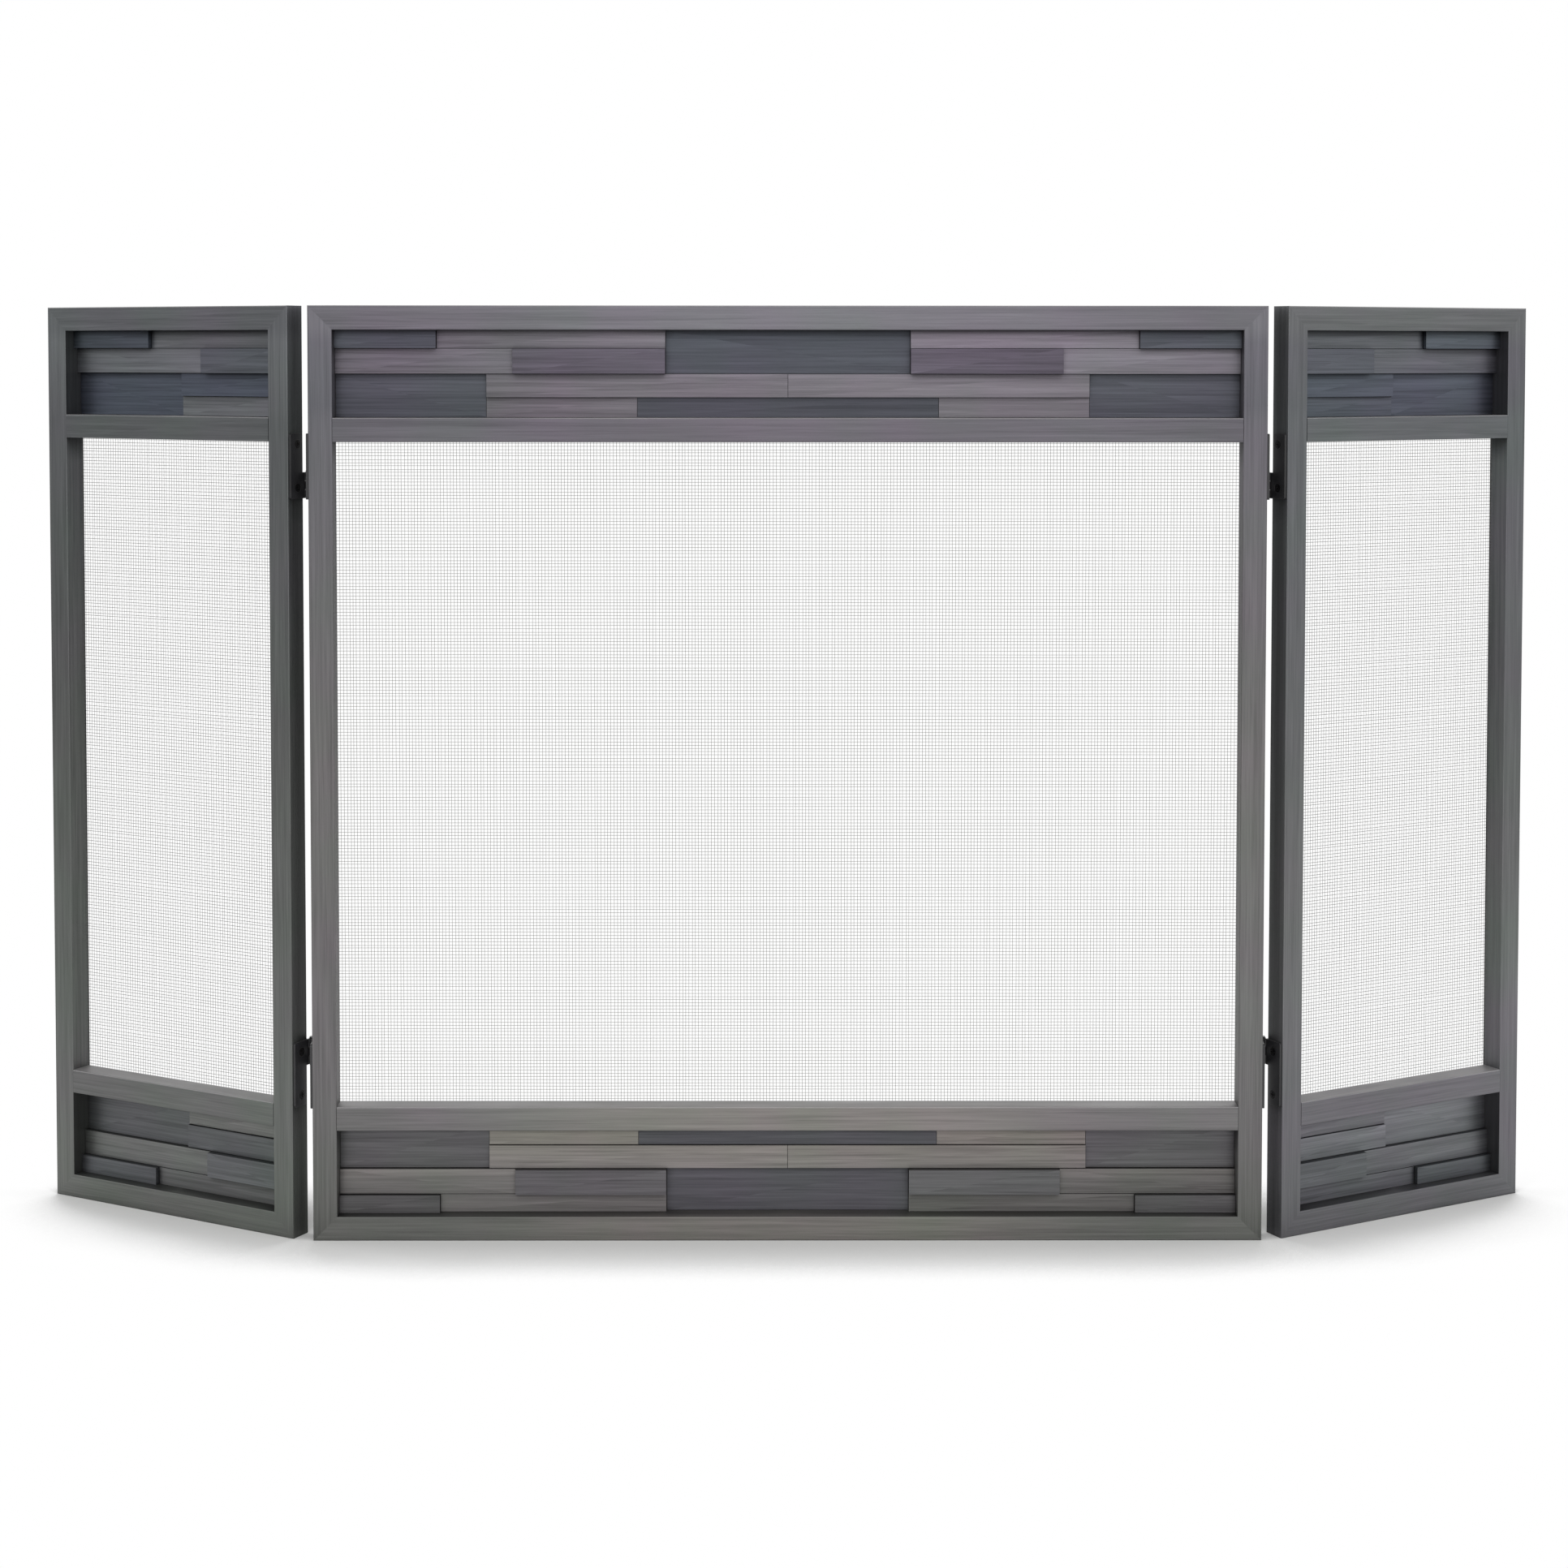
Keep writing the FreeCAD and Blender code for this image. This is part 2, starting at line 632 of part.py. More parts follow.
def make_screw():
    """The countersunk screw that all screw nodes repeat; its axis is Z, its head up."""
    body = new_body("hinge_screw")
    profile = new_sketch(body, "XZ_Plane")
    seat = "-Sizes.screw_head_height"
    add_polygon(profile, [
        ("0", "0"), ("Sizes.screw_head_radius", "0"), ("Sizes.screw_seat_radius", seat),
        ("Sizes.screw_radius", seat),
        ("Sizes.screw_radius", "-(Sizes.screw_length - Sizes.screw_radius)"),
        ("0", "-Sizes.screw_length"),
    ])
    add_revolution(body, profile, "V_Axis")
    long_half, short_half = "Sizes.screw_slot_length / 2", "Sizes.screw_slot_width / 2"
    for along_x, along_y in ((long_half, short_half), (short_half, long_half)):
        slot = new_sketch(body, "XY_Plane")
        add_rectangle(slot, f"-{along_x}", along_x, f"-{along_y}", along_y)
        add_pocket(body, slot, "Sizes.screw_slot_depth")
    return body


def make_screws(panel, screw):
    """The screws in one panel's stiles, in the leaves on its hinged edges."""
    edges = []
    if panel.hinged_left:
        edges.append(("-Sizes.leaf_thickness", "-90"))
    if panel.hinged_right:
        edges.append((f"{panel.width} + Sizes.leaf_thickness", "90"))
    pieces = []
    for across, angle in edges:
        for up in screw_heights():
            piece = document.addObject("App::Link", "Screw")
            piece.LinkedObject = screw
            place(piece, shift(across, SCREW_DEPTH, up, axis="0; 1; 0", angle=angle))
            pieces.append(piece)
    make_group(f"{panel.name}_hinge_screws", pieces, panel.placement)


# ---------------------------------------------------------------- writing

def sub_parts():
    """Every finished sub-part: the bodies and the groups, without the repeated screw."""
    kinds = ("PartDesign::Body", "Part::Compound")
    return [
        item for item in document.Objects
        if item.TypeId in kinds and item.Label != "hinge_screw"
    ]


def check_document(pieces):
    """Stop if a feature failed or a sub-part has no valid solid."""
    for item in document.Objects:
        if "Invalid" in item.State or "Error" in item.State:
            raise RuntimeError(f"{item.Label} failed: {item.State}")
    for piece in pieces:
        shape = piece.Shape
        if shape.isNull() or not shape.isValid() or not shape.Solids:
            raise RuntimeError(f"{piece.Label} has no valid shape")


def export(pieces):
    """Write one STEP file for each sub-part."""
    os.makedirs("parts", exist_ok=True)
    for piece in pieces:
        piece.Shape.exportStep(os.path.join("parts", piece.Label + ".step"))
        print(f"{piece.Label}: {len(piece.Shape.Solids)} solids, {piece.Shape.Volume:.1f} mm3")


def main():
    """Build the whole screen and write its sub-parts."""
    write_sizes()
    for panel in PANELS:
        make_frame(panel)
        make_mesh(panel)
        make_plaque(panel, "top", at_top=True)
        make_plaque(panel, "base", at_top=False)
    for side in (LEFT, RIGHT):
        for level in HINGE_BASES:
            make_hinge(side, level)
    screw = make_screw()
    for panel in PANELS:
        make_screws(panel, screw)
    document.recompute()
    pieces = sub_parts()
    check_document(pieces)
    export(pieces)


main()
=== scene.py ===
"""Looks of a folding fireplace screen with three framed panels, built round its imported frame.

Every member of the frame is shown as it was packed and gets a procedural finish.  The three
sheets of mesh are woven here, wire by wire, in place of their plain slabs.
"""

import json
import logging
import math
from dataclasses import dataclass, field
from enum import Enum
from functools import cache
from typing import Any, Union

import bpy
import numpy as np
from mathutils import Euler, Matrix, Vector


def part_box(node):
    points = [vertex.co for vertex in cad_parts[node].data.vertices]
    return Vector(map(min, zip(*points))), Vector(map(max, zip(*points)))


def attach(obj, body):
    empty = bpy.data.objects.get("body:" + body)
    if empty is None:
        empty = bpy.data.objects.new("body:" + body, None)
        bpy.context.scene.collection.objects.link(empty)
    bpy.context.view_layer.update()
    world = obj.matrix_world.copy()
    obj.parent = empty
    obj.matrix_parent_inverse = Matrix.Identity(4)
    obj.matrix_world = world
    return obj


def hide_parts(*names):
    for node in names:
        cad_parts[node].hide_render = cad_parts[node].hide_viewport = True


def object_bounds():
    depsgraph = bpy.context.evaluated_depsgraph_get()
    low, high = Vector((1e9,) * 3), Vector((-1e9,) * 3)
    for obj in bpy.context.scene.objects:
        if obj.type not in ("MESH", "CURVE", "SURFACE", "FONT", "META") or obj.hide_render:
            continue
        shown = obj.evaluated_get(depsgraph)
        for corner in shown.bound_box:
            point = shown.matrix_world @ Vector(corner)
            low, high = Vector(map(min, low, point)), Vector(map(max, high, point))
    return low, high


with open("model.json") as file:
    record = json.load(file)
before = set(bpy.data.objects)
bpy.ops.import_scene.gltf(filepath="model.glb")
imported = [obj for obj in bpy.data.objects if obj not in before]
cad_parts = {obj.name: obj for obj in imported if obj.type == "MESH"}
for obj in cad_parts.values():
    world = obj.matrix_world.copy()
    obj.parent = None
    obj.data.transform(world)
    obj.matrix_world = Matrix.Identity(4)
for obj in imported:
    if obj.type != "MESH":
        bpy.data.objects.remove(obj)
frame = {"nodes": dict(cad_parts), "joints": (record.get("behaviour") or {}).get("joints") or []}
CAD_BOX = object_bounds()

log = logging.getLogger("fireplace_screen")
Colour = tuple[float, float, float]
Place = tuple[float, float, float]
Span = tuple[float, float]
Operand = Union["Signal", float, Colour]
RIGHTWARD = Vector((1, 0, 0))
FORWARD = Vector((0, -1, 0))
UP = Vector((0, 0, 1))
WHITE = (1.0, 1.0, 1.0)
TOP = CAD_BOX[1].z


def linear(red: int, green: int, blue: int) -> Colour:
    """Turns a colour given as screen values from 0 to 255 into a linear one."""
    parts = (value / 255 for value in (red, green, blue))
    return tuple(p / 12.92 if p <= 0.04045 else ((p + 0.055) / 1.055) ** 2.4 for p in parts)


class Signal:
    """An output socket that takes part in Python arithmetic."""

    def __init__(self, nodes: "Nodes", socket: bpy.types.NodeSocket) -> None:
        """Keeps the socket and the tree that new nodes go into."""
        self.nodes = nodes
        self.socket = socket

    def _join(self, operation: str, *operands: Operand) -> "Signal":
        """Adds the node for one operation.

        Args:
            operation: name of the Math or Vector Math operation.
            operands: signals, numbers or triples, in order.

        Returns:
            The node's output. It is a vector if any operand is one.
        """
        many = any(
            isinstance(o, tuple) or (isinstance(o, Signal) and o.socket.type in {"VECTOR", "RGBA"})
            for o in operands
        )
        kind = "ShaderNodeVectorMath" if many else "ShaderNodeMath"
        if many:
            operands = tuple((o,) * 3 if isinstance(o, (int, float)) else o for o in operands)
        return self.nodes.add(kind, {"operation": operation}, dict(enumerate(operands)))

    def __add__(self, other: Operand) -> "Signal":
        """Self plus other."""
        return self._join("ADD", self, other)

    def __sub__(self, other: Operand) -> "Signal":
        """Self minus other."""
        return self._join("SUBTRACT", self, other)

    def __rsub__(self, other: Operand) -> "Signal":
        """Other minus self."""
        return self._join("SUBTRACT", other, self)

    def __mul__(self, other: Operand) -> "Signal":
        """Self times other."""
        return self._join("MULTIPLY", self, other)

    def __truediv__(self, other: Operand) -> "Signal":
        """Self over other."""
        return self._join("DIVIDE", self, other)

    __radd__ = __add__
    __rmul__ = __mul__

    def largest(self, other: Operand) -> "Signal":
        """The larger of self and other."""
        return self._join("MAXIMUM", self, other)

    def size(self) -> "Signal":
        """Self without its sign."""
        return self._join("ABSOLUTE", self)

    def unit(self) -> "Signal":
        """The direction of self."""
        return self._join("NORMALIZE", self)

    def dot(self, direction: Vector) -> "Signal":
        """Length of self along a direction."""
        inputs = {0: self, 1: tuple(direction)}
        return self.nodes.add(
            "ShaderNodeVectorMath", {"operation": "DOT_PRODUCT"}, inputs, "Value"
        )

    def ramp(self, low: float, high: float) -> "Signal":
        """Rises smoothly from 0 at low to 1 at high, and is flat beyond them."""
        settings = {"interpolation_type": "SMOOTHSTEP"}
        return self.nodes.add(
            "ShaderNodeMapRange", settings, {"Value": self, "From Min": low, "From Max": high}
        )


# Rays for each shaded point, to find corners and to round edges.
CORNER_SAMPLES = 8
EDGE_SAMPLES = 4
# How much a rounded edge has to face up to take the painted highlight, and to turn away to be
# worn.
UPWARD = (0.15, 0.6)
WORN = (0.01, 0.25)
# Heights from mid-height between which the raised bars of the second rows lie, how far from the
# screen's middle they start, and the width of a sharp change, in metres.
RAISED_ROW = (0.3312, 0.3523)
RAISED_START = 0.1008
STEP = 0.0005
# Heights from mid-height over which an opening with relief bars starts.
RELIEF_START = (0.294, 0.2955)
# How far either side of a panel's middle its halves part, in metres, and how squarely a face has
# to be turned to the middle to be an inner wall.
HALVES = (-0.01, 0.01)
INWARD = (0.5, 0.9)


@dataclass(frozen=True)
class Pattern:
    """Even noise: its lumps in a metre, its octaves, and the weight of the finer ones."""

    scale: float
    detail: float = 2.0
    rough: float = 0.5


class Nodes:
    """The node tree of one material or of the world."""

    def __init__(self, tree: bpy.types.NodeTree) -> None:
        """Empties the tree."""
        self.tree = tree
        tree.nodes.clear()

    def add(
        self,
        kind: str,
        settings: dict[str, Any] | None = None,
        inputs: dict[str | int, Any] | None = None,
        output: str | int = 0,
    ) -> Signal:
        """Adds one node.

        Args:
            kind: the node's type.
            settings: its properties, which are set first. "stops" fills a colour ramp.
            inputs: a value or a signal for each socket, by identifier, name or place.
            output: the output that is wanted, by name, or by its place among those in use.

        Returns:
            That output.
        """
        node = self.tree.nodes.new(kind)
        for name, value in (settings or {}).items():
            if name == "stops":
                self._fill(node.color_ramp, value)
            else:
                setattr(node, name, value)
        for key, value in (inputs or {}).items():
            socket = self._input(node, key)
            if isinstance(value, Signal):
                self.tree.links.new(value.socket, socket)
            elif isinstance(value, tuple) and socket.type == "RGBA":
                socket.default_value = (*value, 1.0)
            else:
                socket.default_value = value
        shown = [o for o in node.outputs if o.enabled]
        if isinstance(output, str):
            return Signal(self, next(o for o in shown if o.name == output))
        return Signal(self, shown[output]) if shown else Signal(self, None)

    @staticmethod
    def _input(node: bpy.types.Node, key: str | int) -> bpy.types.NodeSocket:
        """Finds an input by identifier, by name or by place.

        Args:
            node: the node.
            key: the input's identifier, name or place.

        Returns:
            The input.
        """
        if isinstance(key, int):
            return node.inputs[key]
        exact = [s for s in node.inputs if s.identifier == key]
        return (exact or [s for s in node.inputs if s.name == key and s.enabled])[0]

    @staticmethod
    def _fill(ramp: bpy.types.ColorRamp, stops: dict[float, Colour]) -> None:
        """Gives a colour ramp its stops.

        Args:
            ramp: the ramp, with its two first stops.
            stops: a colour for each position from 0 to 1.
        """
        while len(ramp.elements) < len(stops):
            ramp.elements.new(0.5)
        for element, (position, colour) in zip(ramp.elements, sorted(stops.items())):
            element.position = position
            element.color = (*colour, 1.0)

    def place(self) -> Signal:
        """Where a point of the piece is at rest, in metres."""
        return self.add("ShaderNodeTexCoord", output="Object")

    def triple(self, x: Operand, y: Operand, z: Operand) -> Signal:
        """Three numbers as one vector."""
        return self.add("ShaderNodeCombineXYZ", inputs={0: x, 1: y, 2: z})

    def noise(self, at: Signal, pattern: Pattern) -> Signal:
        """Even noise about 0.

        Args:
            at: the coordinates.
            pattern: how coarse and how rough it is.

        Returns:
            A number that is mostly between -0.3 and 0.3.
        """
        inputs = {
            "Vector": at, "Scale": pattern.scale, "Detail": pattern.detail,
            "Roughness": pattern.rough,
        }
        return self.add("ShaderNodeTexNoise", inputs=inputs) - 0.5

    def mix(self, factor: Operand, first: Operand, second: Operand) -> Signal:
        """Mixes two colours.

        Args:
            factor: share of the second one.
            first: colour or signal.
            second: colour or signal.

        Returns:
            The mixed colour.
        """
        inputs = {"Factor_Float": factor, "A_Color": first, "B_Color": second}
        return self.add("ShaderNodeMix", {"data_type": "RGBA"}, inputs)

    def by_height(self, tones: "Tones") -> Signal:
        """A colour that changes with the height above the floor.

        Args:
            tones: heights in metres, each with its colour.

        Returns:
            The colour.
        """
        stops = {height / TOP: colour for height, colour in tones}
        share = self.place().dot(UP) / TOP
        return self.add("ShaderNodeValToRGB", {"stops": stops}, {"Fac": share})

    def above_middle(self) -> Signal:
        """Height above the screen's mid-height, in metres."""
        return self.place().dot(UP) - TOP / 2

    def raised_bars(self) -> Signal:
        """Tells the raised bars of the second rows from the other bars.

        Returns:
            1 on the raised bars, 0 on the others.
        """
        away = self.above_middle().size()
        low, high = (away.ramp(edge, edge + STEP) for edge in RAISED_ROW)
        sideways = self.place().dot(RIGHTWARD).size()
        return (low - high) * sideways.ramp(RAISED_START, RAISED_START + STEP)

    def openness(self, reach: float, lift: float = 0.0) -> Signal:
        """1 on open faces, towards 0 in corners and gaps.

        Args:
            reach: how far away a neighbour still counts, in metres.
            lift: how much more the neighbours above count than those below.

        Returns:
            The mask.
        """
        inputs = {"Color": WHITE, "Distance": reach}
        if lift:
            straight = self.add("ShaderNodeNewGeometry", output="Normal")
            inputs["Normal"] = (straight + tuple(UP * lift)).unit()
        return self.add(
            "ShaderNodeAmbientOcclusion", {"samples": CORNER_SAMPLES}, inputs, "AO"
        )

    def upper_edge(self, radius: float) -> Signal:
        """1 on top faces and on the edges beside them, where the painted highlight goes."""
        eased = self.add("ShaderNodeBevel", {"samples": EDGE_SAMPLES}, {"Radius": radius})
        return eased.dot(UP).ramp(*UPWARD)

    def inner_walls(self, panel: "Panel") -> Signal:
        """Finds the inner faces of a panel's stiles beside its relief bars, for painted shade.

        Args:
            panel: the panel.

        Returns:
            1 on those faces, 0 elsewhere.
        """
        side = (self.place().dot(panel.along) - panel.middle).ramp(*HALVES) - 0.5
        facing = self.add("ShaderNodeTexCoord", output="Normal").dot(panel.along)
        beside = self.above_middle().size().ramp(*RELIEF_START)
        return (side * facing * -2).ramp(*INWARD) * beside

    def worn_edge(self, radius: float) -> Signal:
        """1 on edges that hands and cloths reach, 0 on flat faces.

        Args:
            radius: how far from the edge the wear goes.

        Returns:
            The mask.
        """
        eased = self.add("ShaderNodeBevel", {"samples": EDGE_SAMPLES}, {"Radius": radius})
        flat = self.add("ShaderNodeNewGeometry", output="Normal")
        inputs = {0: eased, 1: flat}
        turn = self.add("ShaderNodeVectorMath", {"operation": "DOT_PRODUCT"}, inputs, "Value")
        return (1 - turn).ramp(*WORN)

    def rays(self) -> tuple[Signal, Signal]:
        """Tells how a surface is looked at.

        Returns:
            1 where it is seen straight or through something, and 1 where it is mirrored.
        """
        camera, through, mirrored = (
            self.add("ShaderNodeLightPath", output=f"Is {kind} Ray")
            for kind in ("Camera", "Transmission", "Glossy")
        )
        return camera.largest(through), mirrored

    def finish_with(self, surface: Signal) -> None:
        """Shows a shader on the surface, or in the world.

        Args:
            surface: the shader.
        """
        world = any(n.type == "BACKGROUND" for n in self.tree.nodes)
        kind = "ShaderNodeOutputWorld" if world else "ShaderNodeOutputMaterial"
        self.add(kind, inputs={"Surface": surface})


class Grain(Enum):
    """Way in which a member is brushed."""

    LEVEL = "level"
    UPRIGHT = "upright"


@dataclass(frozen=True)
class Panel:
    """One framed panel of the screen."""

    name: str
    turn: float

    @property
    def palette(self) -> "Palette":
        """The panel's brushed finishes."""
        return PALETTES[self.name]

    @property
    def body(self) -> str:
        """The body that its pieces ride on."""
        return f"{self.name}_panel"

    @property
    def along(self) -> Vector:
        """Level direction in the panel, towards the right."""
        return Vector((math.cos(self.turn), math.sin(self.turn), 0))

    @property
    def middle(self) -> float:
        """Where the panel's middle is, measured along it."""
        low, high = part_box(f"{self.name}_mesh")
        return ((low + high) / 2).dot(self.along)

    @property
    def facing(self) -> Vector:
        """Direction in which the front of the panel faces."""
        return Vector((math.sin(self.turn), -math.cos(self.turn), 0))

    def brushed(self, nodes: Nodes, grain: Grain) -> tuple[Signal, Signal, Signal]:
        """Coordinates of a brushed member.

        Args:
            nodes: tree that the nodes go into.
            grain: way in which the member is brushed.

        Returns:
            How far along the grain a point is, how far across it and how deep, in metres.
        """
        place = nodes.place()
        level, upright = place.dot(self.along), place.dot(UP)
        depth = place.dot(self.facing)
        if grain is Grain.LEVEL:
            return level, upright, depth
        return upright, level, depth


# How far each wing opens from rest until the screen is flat, which is the nearer limit.
FOLDS = {
    joint["name"]: math.radians(min(joint["range_deg"], key=abs)) for joint in frame["joints"]
}
CENTRE = Panel("centre", 0.0)
LEFT = Panel("left", -FOLDS["left_fold"])
RIGHT = Panel("right", -FOLDS["right_fold"])
PANELS = (CENTRE, LEFT, RIGHT)


def new_material(name: str) -> tuple[bpy.types.Material, Nodes]:
    """Makes an empty material.

    Args:
        name: the material's name.

    Returns:
        The material and its node tree.
    """
    material = bpy.data.materials.new(name)
    material.use_nodes = True
    return material, Nodes(material.node_tree)


Tones = tuple[tuple[float, Colour], ...]


@dataclass(frozen=True)
class Brushed:
    """Steel brushed along its length and lacquered in a pewter tone.

    The tones are given for heights above the floor, in metres, with others for the middle of the
    panel and for its raised bars; on the centre frame the middle tones are painted light and shade
    of the front lamp.  Painted shade darkens the colour in corners, gaps and under ledges.
    """

    name: str
    tones: Tones
    fine: float = 0.8
    bands: float = 0.55
    cloud: float = 0.22
    spread: float = 0.0
    slant: float = 0.0
    middle: Tones | None = None
    raised: Tones | None = None
    walls: float = 0.0
    shade_strength: float = 0.95
    corner: float = 0.008
    lift: float = 0.8
    closed: float = -0.2
    dust_and_highlight: bool = False
    metallic: float = 0.85
    roughness: float = 0.5
    rough_strokes: float = 0.12
    rough_cloud: float = 0.1
    strength: float = 0.2
    relief: float = 0.0002
    across: float = 0.6

    def material(self, panel: Panel, grain: Grain) -> bpy.types.Material:
        """Builds the finish for members of one panel that are brushed one way.

        Args:
            panel: the panel.
            grain: way in which the members are brushed.

        Returns:
            The material.
        """
        material, n = new_material(f"{self.name}_{panel.name}_{grain.value}")
        along, across, depth = panel.brushed(n, grain)
        own = n.add("ShaderNodeNewGeometry", output="Random Per Island")
        fine = n.noise(n.triple(along * STROKE_RUN + own, across, depth), STROKES)
        bands = n.noise(n.triple(along * BAND_RUN + own, across, depth), BANDS)
        cloud = n.noise(n.place() + own, CLOUDS)
        hue = n.noise(n.place() + HUE_SHIFT, HUES)
        tone = 1 + fine * self.fine + bands * self.bands + cloud * self.cloud
        tone = tone + (own - 0.5) * self.spread
        # Painted light: the bars turn lighter towards the right above mid-height and towards the
        # left below it.
        if self.slant:
            tone = tone + n.place().dot(panel.along) * n.above_middle() * self.slant
        colour = n.by_height(self.tones)
        # On the centre frame the middle tones are painted light and shade of the front lamp across
        # the rails; on the centre's dark bars they are a darker tone.
        if self.middle:
            away = (n.place().dot(panel.along) - panel.middle).size()
            colour = n.mix(1 - away.ramp(*MIDDLE_FADE), colour, n.by_height(self.middle))
        if self.raised:
            colour = n.mix(n.raised_bars(), colour, n.by_height(self.raised))
        # Painted shade: the colour darkens in corners, gaps and under ledges, where the
        # ambient-occlusion mask finds neighbours, most from those above.
        shade_mask = 1 - n.openness(self.corner, self.lift).ramp(self.closed, OPEN)
        # Painted shade on the wings' inner walls beside the relief bars.
        if self.walls and grain is Grain.UPRIGHT:
            shade_mask = shade_mask.largest(n.inner_walls(panel) * self.walls)
        colour = colour * (hue * PATINA + 1) * tone * (1 - shade_mask * self.shade_strength)
        # Painted highlight: upward-facing edges of level members turn pale, less so near the
        # floor.
        if self.dust_and_highlight and grain is Grain.LEVEL:
            lit_edge = n.upper_edge(EDGE) * n.place().dot(UP).ramp(*HIGHLIGHT_RISE)
            colour = n.mix(lit_edge * (cloud + HIGHLIGHT_SHARE), colour, EDGE_HIGHLIGHT)
        rough = self.roughness + fine * self.rough_strokes + cloud * self.rough_cloud
        relief = {"Height": fine + bands, "Strength": self.strength, "Distance": self.relief}
        shader = n.add(
            "ShaderNodeBsdfPrincipled",
            inputs={
                "Base Color": colour, "Roughness": rough, "Metallic": self.metallic,
                "Normal": n.add("ShaderNodeBump", inputs=relief),
                "Anisotropic": self.across,
                "Anisotropic Rotation": QUARTER_TURN if grain is Grain.LEVEL else 0.0,
            },
        )
        n.finish_with(shader)
        return material


@dataclass(frozen=True)
class Palette:
    """The brushed finishes of one panel."""

    frame: Brushed
    light: Brushed
    dark: Brushed


@dataclass(frozen=True)
class Paint:
    """Baked paint or black oxide, with a fine grain, a little dust and rubbed edges."""

    name: str
    colour: Colour
    dust_and_highlight: Colour
    roughness: float
    metallic: float = 0.0
    grain: float = 900.0
    rough_dust: float = 0.3
    rough_peel: float = 0.1
    strength: float = 0.4
    relief: float = 0.0001
    rubbed: float = 0.0

    def material(self) -> bpy.types.Material:
        """Builds the finish.

        Returns:
            The material.
        """
        material, n = new_material(self.name)
        place = n.place()
        peel = n.noise(place, Pattern(self.grain))
        dust = n.noise(place, DUST_SPOTS)
        colour = n.mix((dust + 0.5).ramp(*DUSTED), self.colour, self.dust_and_highlight)
        if self.rubbed:
            colour = n.mix(n.worn_edge(self.rubbed) * (dust + BARE_SHARE), colour, BARE_STEEL)
        relief = {"Height": peel, "Strength": self.strength, "Distance": self.relief}
        rough = self.roughness + dust * self.rough_dust + peel * self.rough_peel
        shader = n.add(
            "ShaderNodeBsdfPrincipled",
            inputs={
                "Base Color": colour, "Roughness": rough, "Metallic": self.metallic,
                "Normal": n.add("ShaderNodeBump", inputs=relief),
            },
        )
        n.finish_with(shader)
        return material


# Marks of the brush, and how much shorter they are drawn along it than across it.
STROKES = Pattern(620, 3, 0.65)
STROKE_RUN = 0.02
BANDS = Pattern(230, 3, 0.6)
BAND_RUN = 0.012
# Unevenness of the lacquer in tone and in hue, and of dust.
CLOUDS = Pattern(9, 3, 0.55)
HUES = Pattern(14)
HUE_SHIFT = 5
DUST_SPOTS = Pattern(35, 4, 0.65)
DUSTED = (0.35, 0.8)
# Share of bare steel on a rubbed edge.
BARE_SHARE = 0.6
# What turns a gloss from upright to level grain, in whole turns.
QUARTER_TURN = 0.25
# How far from a panel's middle its own tones fade out, in metres.
MIDDLE_FADE = (0.1, 0.3)
# Openness at which the painted shade in corners and gaps stops.
OPEN = 0.89
# Edge rounding, heights over which the painted upper-edge highlight fades in, and its share.
EDGE = 0.0012
HIGHLIGHT_RISE = (0.0, 0.13)
HIGHLIGHT_SHARE = 0.62
